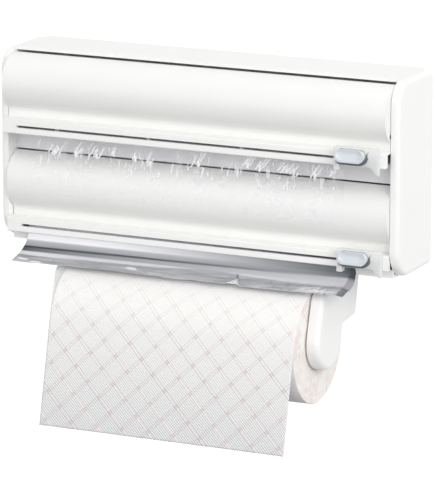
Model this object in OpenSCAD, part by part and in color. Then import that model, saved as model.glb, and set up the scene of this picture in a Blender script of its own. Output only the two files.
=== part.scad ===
// Wall dispenser for cling film, kitchen foil and a kitchen roll.
// X runs along the rolls, the wall is the plane Y = 0 with the front towards -Y, and Z is up.
// The origin is the middle of the wall screw pattern, on the back face.
// Sections are drawn as (depth from the wall, Z) and extruded along X.

/* [Housing] */
// Width over the two end caps
housing_w = 370; // [350:1:420]
// Height of the end caps
housing_h = 166; // [162:1:180]
// Depth of the end caps from the wall
cap_depth = 75; // [73:1:85]
// Thickness of an end cap
cap_t = 7.5; // [6.5:0.5:10]
// Radius of the caps' upper front corner
cap_top_r = 19; // [12:1:22]
// Radius of the caps' lower front corner
cap_bottom_r = 24; // [12:1:28]
// Radius of the caps' upper rear corner
cap_rear_r = 8; // [6:1:10]
// Radius of the caps' lower rear corner
cap_foot_r = 6; // [5.5:0.5:8]
// Rounding of the caps' outer edges
cap_edge_r = 4; // [1:0.5:5]
// Wall thickness of the panels and the shelf
wall_t = 2.5; // [2:0.1:3]
// Depth of the top panel
top_d = 57.2; // [55:0.1:59]
// Depth of the middle shelf to its front wall
shelf_d = 60; // [57:0.5:61]
// Distance from the top down to the middle shelf
shelf_drop = 71; // [69:0.5:73]
// Height of the shelf's front wall
shelf_lip_h = 17; // [15:0.5:20]
// Depth of the base panel to its front wall
base_d = 67; // [64:0.5:68]
// Height of the base panel's front wall
base_lip_h = 7.5; // [5:0.5:9]

/* [Wall screws] */
// Distance between the left and right wall screw holes
screw_dx = 280; // [200:5:320]
// Distance between the upper and lower wall screw holes
screw_dz = 60; // [40:2:80]
// Radius of a wall screw hole
screw_hole_r = 2.25; // [2:0.05:3]

/* [Lids] */
// Radius of the bulge of a lid
lid_r = 24.4; // [23:0.1:26]
// Wall thickness of a lid
lid_t = 2.2; // [1.8:0.1:2.6]
// How far the neck of a lid lies ahead of the bulge's centre
lid_neck = 12; // [11:0.1:13.5]
// Radius of the cove between the bulge and the neck
cove_r = 6; // [4:0.5:7]
// Height of a lid's neck between the cove and the rail
neck_h = 4.5; // [3.5:0.1:6]
// Height of the gap above the upper lid
lid_gap = 1.7; // [1.2:0.1:2.5]
// Height of the gap above the lower lid
lower_lid_gap = 1.3; // [1:0.1:2.5]
// How much taller the lower lid's bulge is than the upper one's
lower_stretch = 2.9; // [1:0.1:4]
// Gap between the top panel and the upper hinge barrel
barrel_gap = 0.7; // [0.5:0.1:1]
// Gap between a lid's end and the end cap
lid_side_gap = 0.5; // [0.4:0.1:1.5]
// Radius of the hinge barrel along a lid's top edge
barrel_r = 2.6; // [2.3:0.1:3]
// Radius of a lid's pivot pin
pivot_r = 1.8; // [1.5:0.1:2]
// Length of a pivot pin inside the end cap
pivot_reach = 4.5; // [3:0.5:5.5]
// Angle of the upper hinge on the bulge, ahead of straight up
upper_hinge_a = -6; // [-8:1:0]
// Angle of the lower hinge on the bulge, ahead of straight up
lower_hinge_a = 12; // [8:1:16]

/* [Cutter rails] */
// Depth of the rail's bar ahead of the lid's neck
bar_d = 12.2; // [11:0.1:13]
// Height of the rail's bar
bar_h = 12.7; // [11.5:0.1:14]
// Thickness of the bar's front wall
bar_front_t = 2.5; // [2:0.1:3]
// Thickness of the bar's upper and lower walls
bar_wall = 2; // [1.6:0.1:2.4]
// Depth of the bar's lower wall
bar_foot_d = 6.8; // [6.5:0.1:7]
// Height of the cutter slot
slot_h = 2.2; // [2:0.1:3]
// Distance from a rail's end to its cutter slot
slot_margin = 13.5; // [12:0.1:20]
// Distance from the bar's top down to the middle of the slot
slot_drop = 6.3; // [6:0.1:6.8]

/* [Cutters] */
// Width of a cutter's slider
cutter_w = 39; // [34:1:44]
// Distance from the slot's right end to a parked cutter's neck
park_gap = 4.5; // [3:0.5:6]
// Thickness of the slider's plate
plate_t = 5.5; // [5:0.1:7]
// Height of the slider above the slot
plate_top = 10.5; // [10:0.1:12]
// How far the slider's left leg hangs below the slot
leg_drop = 9; // [7:0.1:9.5]
// Width of the slider's left leg
leg_w = 5; // [3.5:0.5:6]
// How far the slider's horn hangs below the slot
horn_drop = 11.5; // [10:0.1:12]
// Radius of the curve on the horn's inner side
horn_r = 13; // [11:0.5:14]
// Height of the arch below the slot
arch_drop = 3.3; // [3:0.1:4]
// Thickness of the slider at its right end
plate_end_t = 2; // [1.5:0.1:2.5]
// Width of the thumb button
button_w = 26; // [24:0.5:27]
// Height of the thumb button
button_h = 10.5; // [10:0.1:11]
// How far the thumb button stands proud of the slider
button_out = 5.8; // [4.5:0.1:7]
// Travel of the thumb button
button_travel = 2; // [1.5:0.1:2.2]
// Radius of the thumb scoop
scoop_r = 8; // [7:0.5:10]
// Width of the blade
blade_w = 8; // [6:0.5:9]
// Thickness of the blade
blade_t = 0.4; // [0.3:0.05:0.5]
// Radius of the button spring's wire
spring_wire_r = 0.25; // [0.2:0.05:0.3]
// Mean radius of the button spring
spring_r = 2; // [1.7:0.1:2.1]
// Turns of the button spring
spring_turns = 4; // [3:1:5]

/* [Rolls] */
// Length of the film roll
film_w = 290; // [250:1:300]
// Radius of the film roll
film_r = 22; // [18:0.5:23]
// Length of the foil roll
foil_w = 300; // [260:1:305]
// Radius of the foil roll
foil_r = 19; // [17:0.5:22]
// How far the film and the foil lie to the left of the middle
roll_shift = 8; // [0:1:12]
// Outer radius of the film's and foil's card cores
core_r = 15.5; // [14.5:0.5:16]
// Wall of the card cores
core_t = 1.5; // [1:0.1:2]
// Gap between the back panel and the film and foil rolls
roll_back_gap = 7.5; // [6:0.5:9]
// Height of the rolls above the floor of their compartments
cradle_h = 7.5; // [5:0.5:9]
// Thickness of a cradle rib
rib_t = 3; // [2:0.5:4]
// Thickness that the film and foil sheets are drawn with
web_t = 0.5; // [0.3:0.05:0.6]
// How far the foil's torn flap reaches forward
flap_reach = 22; // [10:1:26]
// How far the film hangs round the lower lid, in degrees below the bulge's middle
film_hang = 24; // [10:1:30]

/* [Kitchen roll] */
// Length of the kitchen roll
paper_w = 227; // [200:1:235]
// Radius of the kitchen roll
paper_r = 50; // [40:0.5:55]
// Inner radius of the kitchen roll's core
paper_core_r = 19; // [18:0.5:22]
// Gap between the housing and the kitchen roll
paper_drop = 12; // [10:0.5:20]
// Distance from the wall to the kitchen roll's axis
paper_d = 75; // [72:0.5:78]
// Length of the hanging sheet below the roll's side
sheet_len = 92.5; // [40:0.5:120]
// Lean of the hanging sheet away from the wall, in degrees
sheet_lean = 13; // [0:1:20]
// Thickness that the paper sheet is drawn with
sheet_t = 0.8; // [0.4:0.1:1]

/* [Arms] */
// Thickness of an arm
arm_t = 11; // [9:0.5:13]
// Gap between the kitchen roll and an arm
arm_gap = 1.5; // [1:0.1:3]
// Radius of an arm's lower end
arm_end_r = 25.5; // [24:0.5:28]
// How far the middle of an arm's lower end lies above the roll's axis
arm_end_rise = 6; // [3:0.5:8]
// Rounding of an arm's outer edges
arm_edge_r = 4.5; // [2:0.5:5]
// Length of a hub from the arm
hub_len = 15; // [10:0.5:18]
// Radius of a hub's tip
hub_tip_r = 13; // [10:0.5:14]
// Radius of an arm's hinge knuckles
knuckle_r = 4.5; // [4:0.1:5]
// Radius of an arm's hinge pin
pin_r = 1.5; // [1.2:0.1:2]
// Thickness of the roll bracket
bracket_t = 2.5; // [2:0.1:3.5]
// Length of an arm's hinge
hinge_len = 54; // [45:1:56]
// Distance from the wall to the arm hinges
hinge_d = 16; // [14:0.5:18]

/* [Hidden] */
$fn = 64;

// Clearances
fit = 0.1;          // pieces that are fixed to each other
pin_clear = 0.05;   // a pin in its bore, on the radius
slide_clear = 0.2;  // the slider on the rail, the button in its pocket
rest_clear = 0.3;   // a roll on its cradle, a sheet on its roll
hub_clear = 0.35;   // a hub in the paper core, on the radius
swing_clear = 0.6;  // the arm round the bracket's lugs
skin_inset = 0.3;   // the hinge barrel under the lid's skin
cut_over = 1;       // how far a cut passes a face
eps = 0.01;

white = "#F3F3F0";
shade = "#D9D9DE";
cutter_grey = "#DDE2E6";
card = "#B89B74";
silver = "#B9BEC4";
paper_white = "#FBF6F3";

// Housing
z_top = housing_h / 2;
z_bottom = -housing_h / 2;
inner_x = housing_w / 2 - cap_t;
panel_w = 2 * inner_x;
shelf_z = z_top - shelf_drop;
shelf_foot = shelf_z - shelf_lip_h;
base_z = z_bottom + wall_t;
// Corners of an end cap: centre, radius and the direction of the corner's first edge
cap_corners = [
  [[cap_depth - cap_top_r, z_top - cap_top_r], cap_top_r, 0],
  [[cap_rear_r, z_top - cap_rear_r], cap_rear_r, 90],
  [[cap_foot_r, z_bottom + cap_foot_r], cap_foot_r, 180],
  [[cap_depth - cap_bottom_r, z_bottom + cap_bottom_r], cap_bottom_r, 270]
];

// Lids: pivots and bulge centres as (depth, Z); the stretched bulge has a second centre above its first
hinge_ring = lid_r - barrel_r - skin_inset;
upper_pivot = [top_d + barrel_gap + barrel_r, z_top - wall_t - lid_gap - barrel_r];
lower_pivot = [shelf_d, shelf_foot - lower_lid_gap - barrel_r];
upper_c = upper_pivot - hinge_ring * [sin(upper_hinge_a), cos(upper_hinge_a)];
lower_top_c = lower_pivot - hinge_ring * [sin(lower_hinge_a), cos(lower_hinge_a)];
lower_c = lower_top_c - [0, lower_stretch];
lid_len = panel_w - 2 * lid_side_gap;
cove_z = -sqrt(pow(lid_r + cove_r, 2) - pow(lid_neck + cove_r, 2));
cove_a = atan2(cove_z, lid_neck + cove_r);
end_rib_t = 2;
end_rib_h = 13;     // closes the end of a bulge
end_rib_a = 4;      // how far it stops short of the cove, in degrees
pin_root = 2;       // the pivot pin inside the hinge barrel

// Rail, measured from the bulge's centre
bar_top = cove_z - neck_h;
bar_front = lid_neck + bar_d;
bar_foot = bar_top - bar_h;
slot_z = bar_top - slot_drop;
hook_t = 1.2;
hook_h = 2.5;
tongue_dip = 1;
bar_edge_r = 1;
slot_len = lid_len - 2 * slot_margin;
slot_end_gap = 1;   // the slot's end ahead of the rail's solid end
rail_end_len = slot_margin - slot_end_gap;

// Cutter, measured from the middle of the slot and the bar's front face
plate_front = slide_clear + plate_t;
button_x = -4;
button_rim = 1.3;   // the slider's edge above the button
button_seat = 0.6;  // the button's start below the slider's face
button_z = plate_top - button_h / 2 - button_rim;
button_back = plate_front - button_seat;
button_front = plate_front + button_out;
pocket_floor = button_back - button_travel - fit;
guide_dx = 8;
guide_r = 1.2;
arch_end = 4;
sweep_r = 16;
sweep_tilt = 25;
sweep_len = 80;
scoop_depth = 2.5;
scoop_rise = 2;
scoop_end = 2;      // the button's end beyond the scoop
scoop_len = button_w - button_h - 2 * scoop_end;
lug_w = 5;
lug_t = slot_h - 2 * slide_clear;
shoe_front = -bar_front_t - rest_clear;
shoe_t = bar_foot_d - bar_front_t - 2 * rest_clear;
shoe_w = 26;
shoe_top = slot_drop - bar_wall - rest_clear;
shoe_foot = slot_drop - bar_h + bar_wall + rest_clear;
slit_h = blade_t + 2 * slide_clear;
slit_w = blade_w + 2 * rest_clear;
cutter_x = slot_len / 2 - park_gap - button_x - slit_w / 2 - lug_w;
blade_tip = shoe_front - shoe_t + rest_clear;
blade_root = 2.8;
spring_play = 0.4;  // the spring in the button's cavity, on the radius
button_skin = 0.8;  // the button's wall between the cavity and the scoop
spring_room = spring_r + spring_wire_r + spring_play;
spring_floor = button_front - scoop_depth - button_skin;
spring_z = button_z + spring_play;

// Rolls as (depth, Z)
film_c = [wall_t + roll_back_gap + film_r, shelf_z + cradle_h + film_r];
foil_c = [wall_t + roll_back_gap + foil_r, base_z + cradle_h + foil_r];
core_over = 2;
rib_pitch = 0.3 * min(film_w, foil_w);
rib_xs = [for (k = [-1.5:1:1.5]) k * rib_pitch - roll_shift];
rib_rear = 0.45;    // height of a rib behind and ahead of a roll, as shares of the roll's radius
rib_front = 0.25;

// Sheets leave their rolls at a tangent, pass under the rail's hook and turn down behind its lower wall
film_inset = 2.7;   // the film behind the rail's lower wall
film_show = 7;      // the film's end above the shelf's foot
turn_drop = 1;      // where a sheet turns down, below the slot
foil_clear = 1;     // the foil under the rail and the base
crease_inset = 4;   // the foil's crease behind the rail's front
crease_dip = 2;
crease_rise = 7;    // the crumpled stretch above the crease
flap_fall = [2, 7]; // drop of the flap at its bend and at its end
flap_bend = 0.45;   // place of the bend along the flap
hook_edge = [lid_neck - lid_t - hook_t - fit - web_t, bar_top - bar_wall - rest_clear - web_t];
film_exit = [upper_c[0] + bar_front - bar_foot_d - film_inset, upper_c[1] + slot_z - turn_drop];
film_end = [film_exit[0], shelf_foot + film_show];
foil_exit = [(base_d + lower_c[0] + bar_front - bar_foot_d) / 2, lower_c[1] + slot_z - turn_drop];
foil_low = min(z_bottom, lower_c[1] + bar_foot) - foil_clear;
foil_crease = [lower_c[0] + bar_front - crease_inset, foil_low - crease_dip];
tail_top_a = 42;    // where the film meets the lower lid, in degrees above the bulge's middle
wrap_a = 40;        // how far the film and the foil are drawn round their rolls
tail_r = lid_r + rest_clear + web_t / 2;

// Kitchen roll
paper_c = [paper_d, z_bottom - paper_drop - paper_r];
paper_core_t = 1.2;
paper_wrap_a = 80;  // where the hanging sheet parts from the roll, ahead of its top
wrap_r = paper_r + rest_clear + sheet_t / 2;

// Arms
arm_x = paper_w / 2 + arm_gap;
hinge_inset = 2.3;  // the hinge inside the arm's middle, so that the arm hangs against its stop
hinge_x = arm_x + arm_t / 2 - hinge_inset;
knuckle_gap = 0.5;
lug_relief = 1.2;   // a lug's web inside its knuckle, for the arm to swing past
lug_web_r = knuckle_r - lug_relief;
arm_lead = 2;       // the arm's lower end ahead of the roll's axis
hinge_z = z_bottom - bracket_t - knuckle_r - knuckle_gap;
arm_c = paper_c + [arm_lead, arm_end_rise];
// Discs that an arm is stretched over, as [radius, (depth, Z)]: a long tongue and the root behind it
tongue_discs = [
  [arm_end_r, arm_c],
  [12, [paper_d + 7, hinge_z - 17]],
  [10, [hinge_d + hinge_len - 16, hinge_z - 12]]
];
root_discs = [
  [6, [hinge_d + 5, hinge_z - 4]],
  [6, [hinge_d + hinge_len - 6, hinge_z - 4]],
  [6, [hinge_d + 11, hinge_z - 33]],
  [8, [hinge_d + 40, hinge_z - 34]]
];
// Hub: a land that carries the core, then a tapered, hollow tip
hub_land = arm_gap + 1.7;
hub_land_r = paper_core_r - hub_clear;
hub_wall = 2;
leaf_n = 5;
leaf_len = hinge_len / leaf_n;
bracket_side = 3;   // the bracket's edge beyond the knuckles
bracket_over = 2;   // the bracket's edge beyond the hinge's ends
bracket_w = 2 * (hinge_x + knuckle_r + bracket_side);
bracket_d = hinge_len + 2 * bracket_over;
bracket_screw_dx = 140;
bracket_screw_inset = 10;
bracket_screw_xs = [-bracket_screw_dx / 2, bracket_screw_dx / 2];
bracket_screw_ds = [hinge_d + bracket_screw_inset, hinge_d + hinge_len - bracket_screw_inset];
bracket_screw_r = 1.5;
bracket_head_r = 3;
bracket_head_h = 1.8;
boss_r = 4;
boss_h = 5;
boss_roof = 1;
screw_end_gap = 0.5;

// Extrudes a (depth, Z) section along X
module across(len, x = 0) {
  translate([x, 0, 0]) rotate([90, 0, -90]) linear_extrude(len, center = true) children();
}

// Round bar along X at a (depth, Z) point
module rod_x(r, len, p, x = 0) {
  translate([x, -p[0], p[1]]) rotate([0, 90, 0]) cylinder(r = r, h = len, center = true);
}

// Round bar along Y between two depths
module rod_y(r, d0, d1, x, z) {
  translate([x, -d1, z]) rotate([-90, 0, 0]) cylinder(r = r, h = d1 - d0);
}

// Extrudes an (X, Z) outline forward between two depths
module forward(d0, d1) {
  translate([0, -d0, 0]) rotate([90, 0, 0]) linear_extrude(d1 - d0) children();
}

// Part of a ring, from angle a0 to a1
module band(r, t, a0, a1) {
  steps = 6;
  intersection() {
    difference() {
      circle(r);
      circle(r - t);
    }
    polygon(concat([[0, 0]], [for (i = [0:steps]) 2 * r * [cos(a0 + (a1 - a0) * i / steps),
                                                          sin(a0 + (a1 - a0) * i / steps)]]));
  }
}

function heading(a) = [cos(a), sin(a)];

// Where a sheet that runs to point p leaves the upper front of a roll
function leave_angle(c, r, p) = atan2(p[1] - c[1], p[0] - c[0]) + acos(r / norm(p - c));
function on_circle(c, r, a) = c + r * [cos(a), sin(a)];
function arc(c, r, a0, a1, n) = [for (i = [0:n]) on_circle(c, r, a0 + (a1 - a0) * i / n)];

// Outline of a thin sheet along a path
function unit(v) = v / norm(v);
function normal_at(path, i) =
  let (a = path[max(i - 1, 0)], b = path[min(i + 1, len(path) - 1)], u = unit(b - a)) [-u[1], u[0]];
function ribbon(path, t) = concat(
  [for (i = [0:len(path) - 1]) path[i] + normal_at(path, i) * t / 2],
  [for (i = [len(path) - 1:-1:0]) path[i] - normal_at(path, i) * t / 2]);

module sheet(path, t, w, x = 0) {
  across(w, x) polygon(ribbon(path, t));
}

// Housing
module back_panel() color(white) difference() {
  across(panel_w) translate([0, base_z]) square([wall_t, z_top - wall_t - base_z]);
  for (x = [-1, 1], z = [-1, 1])
    rod_y(screw_hole_r, -cut_over, wall_t + cut_over, x * screw_dx / 2, z * screw_dz / 2);
}

module top_panel() color(white)
  across(panel_w) translate([0, z_top - wall_t]) square([top_d, wall_t]);

// Ribs that hold a roll off a floor of depth floor_d
module cradle(c, r, floor_z, floor_d) {
  rib_d = min(2 * c[0] - wall_t, floor_d) - wall_t;
  for (x = rib_xs) across(rib_t, x) difference() {
    translate([wall_t, floor_z - eps]) square([rib_d, cradle_h + r * rib_rear]);
    translate(c) circle(r + rest_clear);
    translate([c[0], floor_z + cradle_h + r * rib_front]) square(3 * r);
  }
}

module middle_shelf() color(shade) {
  across(panel_w) {
    translate([wall_t, shelf_z - wall_t]) square([shelf_d - wall_t, wall_t]);
    translate([shelf_d - wall_t, shelf_foot]) square([wall_t, shelf_lip_h]);
  }
  cradle(film_c, film_r, shelf_z, shelf_d);
}

module base_panel() color(white) difference() {
  union() {
    across(panel_w) {
      translate([0, z_bottom]) square([base_d, wall_t]);
      translate([base_d - wall_t, z_bottom]) square([wall_t, base_lip_h]);
    }
    cradle(foil_c, foil_r, base_z, base_d);
    for (x = bracket_screw_xs, d = bracket_screw_ds)
      translate([x, -d, base_z - eps]) cylinder(r = boss_r, h = boss_h);
  }
  for (x = bracket_screw_xs, d = bracket_screw_ds)
    translate([x, -d, z_bottom - cut_over])
      cylinder(r = bracket_screw_r + pin_clear, h = cut_over + wall_t + boss_h - boss_roof);
}

// Quarter of a disc
module quarter(r) intersection() {
  circle(r);
  square(r);
}

// Side outline of an end cap, drawn in by inset
module cap_outline(inset) {
  polygon([for (k = cap_corners)
    each [k[0] + (k[1] - inset) * heading(k[2]), k[0], k[0] + (k[1] - inset) * heading(k[2] + 90)]]);
  for (k = cap_corners) translate(k[0]) rotate(k[2]) quarter(k[1] - inset);
}

// End cap with its inner face on the ground plane: a plate whose outer edge is rounded all the way round
module cap_plate() {
  linear_extrude(cap_t - cap_edge_r) cap_outline(0);
  linear_extrude(cap_t) cap_outline(cap_edge_r);
  translate([0, 0, cap_t - cap_edge_r]) for (i = [0:3]) {
    k = cap_corners[i];
    next = cap_corners[(i + 1) % 4];
    side = abs((next[0] - k[0]) * heading(k[2] + 180));
    translate(k[0]) rotate(k[2]) rotate_extrude(angle = 90)
      translate([k[1] - cap_edge_r, 0]) quarter(cap_edge_r);
    translate(k[0]) rotate(k[2] + 90) translate([k[1] - cap_edge_r, side])
      rotate([90, 0, 0]) linear_extrude(side) quarter(cap_edge_r);
  }
}

module end_cap() difference() {
  translate([inner_x, 0, 0]) mirror([0, 1, 0]) rotate([90, 0, 90]) cap_plate();
  for (p = [upper_pivot, lower_pivot])
    rod_x(pivot_r + pin_clear, 2 * (pivot_reach + lid_side_gap), p, inner_x);
}

module left_end_cap() color(white) mirror([1, 0, 0]) end_cap();

module right_end_cap() color(white) end_cap();

// Lids
// Bulge of a lid: a round band, or two with a straight stretch between them
module bulge(r, t, a0, a1, stretch) {
  if (stretch > 0) {
    band(r, t, a0, 0);
    translate([r - t, 0]) square([t, stretch]);
    translate([0, stretch]) band(r, t, 0, a1);
  } else {
    band(r, t, a0, a1);
  }
}

module lid_section(a, stretch) {
  bulge(lid_r, lid_t, cove_a, 90 - a, stretch);
  translate([lid_neck + cove_r, cove_z]) band(cove_r + lid_t, lid_t, 180 + cove_a, 180);
  translate([lid_neck - lid_t, bar_top - tongue_dip]) square([lid_t, cove_z - bar_top + tongue_dip]);
  translate([0, stretch] + hinge_ring * [sin(a), cos(a)]) circle(barrel_r);
}

module lid(c, pivot, a, stretch = 0) {
  across(lid_len) translate(c) lid_section(a, stretch);
  for (s = [-1, 1]) {
    across(end_rib_t, s * (lid_len - end_rib_t) / 2) translate(c)
      bulge(lid_r - lid_t / 2, end_rib_h, cove_a + end_rib_a, 90 - a, stretch);
    rod_x(pivot_r, lid_side_gap + pivot_reach + pin_root, pivot,
          s * (inner_x + (pivot_reach - lid_side_gap - pin_root) / 2));
  }
}

module upper_lid() color(white) lid(upper_c, upper_pivot, upper_hinge_a);

module lower_lid() color(white) lid(lower_c, lower_pivot, lower_hinge_a, lower_stretch);

// Cutter rails: a channel that is open to the rear, with a hook and a groove for the foot of the lid's neck
module rail_section() {
  translate([lid_neck - lid_t - hook_t - fit, bar_top - bar_wall])
    square([hook_t + lid_t + 2 * fit + bar_wall, bar_wall - tongue_dip - fit]);
  translate([lid_neck - lid_t - hook_t - fit, bar_top - bar_wall]) square([hook_t, hook_h]);
  translate([lid_neck + fit, bar_top - bar_wall]) square([bar_d - fit - bar_edge_r, bar_wall]);
  translate([bar_front - bar_foot_d, bar_foot]) square([bar_foot_d - bar_edge_r, bar_wall]);
  translate([bar_front - bar_front_t, bar_foot]) square([bar_front_t - bar_edge_r, bar_h]);
  translate([bar_front - bar_front_t, bar_foot + bar_edge_r])
    square([bar_front_t, bar_h - 2 * bar_edge_r]);
  for (z = [bar_foot + bar_edge_r, bar_top - bar_edge_r])
    translate([bar_front - bar_edge_r, z]) circle(bar_edge_r);
}

module rail(c) difference() {
  union() {
    across(lid_len) translate(c) rail_section();
    for (s = [-1, 1]) across(rail_end_len, s * (lid_len - rail_end_len) / 2) translate(c)
      translate([bar_front - bar_foot_d, bar_foot]) square([bar_foot_d - bar_edge_r, bar_h]);
  }
  translate([0, -c[0] - bar_front, c[1] + slot_z])
    cube([slot_len, 2 * (bar_front_t + fit), slot_h], center = true);
}

module upper_rail() color(white) rail(upper_c);

module lower_rail() color(white) rail(lower_c);

// Cutters
module at_slot(c) translate([cutter_x, -c[0] - bar_front, c[1] + slot_z]) children();

module oval(w, h) {
  square([w - h, h], center = true);
  for (s = [-1, 1]) translate([s * (w - h) / 2, 0]) circle(h / 2);
}

module slider_outline() difference() {
  translate([-cutter_w / 2, -horn_drop]) square([cutter_w, plate_top + horn_drop]);
  translate([leg_w - cutter_w / 2, -horn_drop - cut_over])
    square([arch_end + cutter_w / 2 - leg_w, horn_drop + cut_over - arch_drop]);
  translate([arch_end, -arch_drop - horn_r]) circle(horn_r);
  translate([-cutter_w / 2 - cut_over, -horn_drop - cut_over])
    square([leg_w + 2 * cut_over, horn_drop + cut_over - leg_drop]);
}

module slider(c) at_slot(c) {
  difference() {
    forward(slide_clear, plate_front) slider_outline();
    translate([button_x, 0, button_z])
      forward(pocket_floor, plate_front + cut_over)
        oval(button_w + 2 * slide_clear, button_h + 2 * slide_clear);
    translate([cutter_w / 2, -slide_clear - plate_end_t - sweep_r, button_z])
      rotate([0, sweep_tilt, 0]) cylinder(r = sweep_r, h = sweep_len, center = true);
    for (s = [-1, 1])
      rod_y(guide_r + pin_clear, 0, pocket_floor + cut_over, button_x + s * guide_dx, button_z);
    translate([button_x, -pocket_floor / 2, 0])
      cube([slit_w, pocket_floor + cut_over, slit_h], center = true);
  }
  for (s = [-1, 1])
    translate([button_x + s * (slit_w + lug_w) / 2, 0, 0])
      forward(shoe_front, slide_clear + eps) square([lug_w, lug_t], center = true);
}

module shoe(c) at_slot(c) difference() {
  translate([button_x, 0, 0]) forward(shoe_front - shoe_t, shoe_front)
    translate([-shoe_w / 2, shoe_foot]) square([shoe_w, shoe_top - shoe_foot]);
  translate([button_x, -shoe_front, 0]) cube([slit_w, 3 * shoe_t, slit_h], center = true);
}

// Thumb scoop: a trough with round ends
module scoop() {
  d = button_front + scoop_r - scoop_depth;
  z = button_z + scoop_rise;
  rod_x(scoop_r, scoop_len, [d, z], button_x);
  for (s = [-1, 1]) translate([button_x + s * scoop_len / 2, -d, z]) sphere(scoop_r);
}

module button(c) at_slot(c) {
  difference() {
    translate([button_x, 0, button_z]) forward(button_back, button_front) oval(button_w, button_h);
    scoop();
    rod_y(spring_room, 0, spring_floor, button_x, spring_z);
    translate([button_x, -button_back, 0])
      cube([blade_w + 2 * fit, 2 * (blade_root + fit), blade_t + 2 * fit], center = true);
  }
  for (s = [-1, 1])
    rod_y(guide_r, button_travel + 2 * slide_clear, button_back + eps, button_x + s * guide_dx, button_z);
}

module blade(c) at_slot(c) translate([button_x, 0, -blade_t / 2])
  linear_extrude(blade_t) polygon([
    [-blade_w / 2, -button_back - blade_root], [blade_w / 2, -button_back - blade_root],
    [blade_w / 2, -blade_tip - blade_w / 2], [0, -blade_tip], [-blade_w / 2, -blade_tip - blade_w / 2]]);

// One unbroken wire: rings of points along a helix, joined by triangles
module spring(c) at_slot(c) translate([button_x, 0, spring_z]) {
  rings = 8 * spring_turns;
  sides = 6;
  d0 = pocket_floor + spring_wire_r + fit;
  d1 = spring_floor - spring_wire_r - fit;
  tip = 360 / sides;
  points = [for (i = [0:rings], k = [0:sides - 1])
    let (a = 360 * spring_turns * i / rings, r = spring_r + spring_wire_r * cos(k * tip))
    [r * cos(a), -(d0 + (d1 - d0) * i / rings + spring_wire_r * sin(k * tip)), r * sin(a)]];
  top = [for (i = [0:rings]) points[i * sides + 1]];
  foot = [for (i = [0:rings]) points[i * sides + sides - 2]];
  skin = [for (i = [0:rings - 1], k = [0:sides - 1])
    let (a = i * sides + k, b = i * sides + (k + 1) % sides)
    each [[a, b, a + sides], [b, b + sides, a + sides]]];
  last = rings * sides;
  caps = [for (k = [1:sides - 2]) each [[0, k + 1, k], [last, last + k, last + k + 1]]];
  polyhedron(points, concat(skin, caps));
  echo("least gap between turns", min([for (i = [0:rings - 6], k = [i + 6:rings]) norm(foot[k] - top[i])]));
}

module upper_slider() color(cutter_grey) slider(upper_c);

module upper_shoe() color(white) shoe(upper_c);

module upper_button() color(cutter_grey) button(upper_c);

module upper_blade() color("silver") blade(upper_c);

module upper_spring() color("silver") spring(upper_c);

module lower_slider() color(cutter_grey) slider(lower_c);

module lower_shoe() color(white) shoe(lower_c);

module lower_button() color(cutter_grey) button(lower_c);

module lower_blade() color("silver") blade(lower_c);

module lower_spring() color("silver") spring(lower_c);

// Rolls
module tube(c, r_out, r_in, len, x = 0) difference() {
  rod_x(r_out, len, c, x);
  rod_x(r_in, len + 2 * cut_over, c, x);
}

module film_core() color(card) tube(film_c, core_r, core_r - core_t, film_w + 2 * core_over, -roll_shift);

module film_roll() color("#E4EAEE") tube(film_c, film_r, core_r + fit, film_w, -roll_shift);

module foil_core() color(card) tube(foil_c, core_r, core_r - core_t, foil_w + 2 * core_over, -roll_shift);

module foil_roll() color(silver) tube(foil_c, foil_r, core_r + fit, foil_w, -roll_shift);

module paper_core() color(card) tube(paper_c, paper_core_r + paper_core_t, paper_core_r, paper_w);

module paper_roll() color(paper_white) tube(paper_c, paper_r, paper_core_r + paper_core_t + fit, paper_w);

// Sheets
module film_web() color("#E4EAEE") {
  r = film_r + rest_clear + web_t / 2;
  a = leave_angle(film_c, r, upper_c + hook_edge);
  sheet(concat(arc(film_c, r, a + wrap_a, a, 6), [upper_c + hook_edge, film_exit, film_end]),
        web_t, film_w, -roll_shift);
}

module film_tail() color("#E4EAEE")
  sheet(concat(arc(lower_top_c, tail_r, tail_top_a, 0, 8), arc(lower_c, tail_r, 0, -film_hang, 4)),
        web_t, film_w, -roll_shift);

module foil_sheet() color(silver) {
  r = foil_r + rest_clear + web_t / 2;
  a = leave_angle(foil_c, r, lower_c + hook_edge);
  sheet(concat(arc(foil_c, r, a + wrap_a, a, 6),
               [lower_c + hook_edge, foil_exit, [foil_exit[0], lower_c[1] + bar_foot - foil_clear],
                foil_crease + [-crease_dip, crease_rise], foil_crease,
                foil_crease + [flap_reach * flap_bend, -flap_fall[0]],
                foil_crease + [flap_reach, -flap_fall[1]]]),
        web_t, foil_w, -roll_shift);
}

module paper_sheet() color(paper_white) {
  leave = on_circle(paper_c, wrap_r, sheet_lean);
  sheet(concat(arc(paper_c, wrap_r, paper_wrap_a, sheet_lean, 16),
               [leave + sheet_len * [sin(sheet_lean), -cos(sheet_lean)]]), sheet_t, paper_w);
}

// Arms: the arm has the hinge's even leaves, the bracket its odd ones
module leaf(i, r, grow, side) {
  rod_y(r, hinge_d + i * leaf_len + rest_clear - grow, hinge_d + (i + 1) * leaf_len - rest_clear + grow,
        side * hinge_x, hinge_z);
}

module hinge_bore(side)
  rod_y(pin_r + pin_clear, hinge_d - cut_over, hinge_d + hinge_len + cut_over, side * hinge_x, hinge_z);

// Disc on the X axis with a soft outer rim, facing away from the roll
module puck(r, p, side) {
  edge = min(arm_edge_r, r - 1, arm_t - 2);
  translate([side * arm_x, -p[0], p[1]]) rotate([0, side * 90, 0]) rotate_extrude($fn = 48) {
    square([r, arm_t - edge]);
    square([r - edge, arm_t]);
    translate([r - edge, arm_t - edge]) intersection() {
      circle(edge, $fn = 32);
      square(edge);
    }
  }
}

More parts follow.
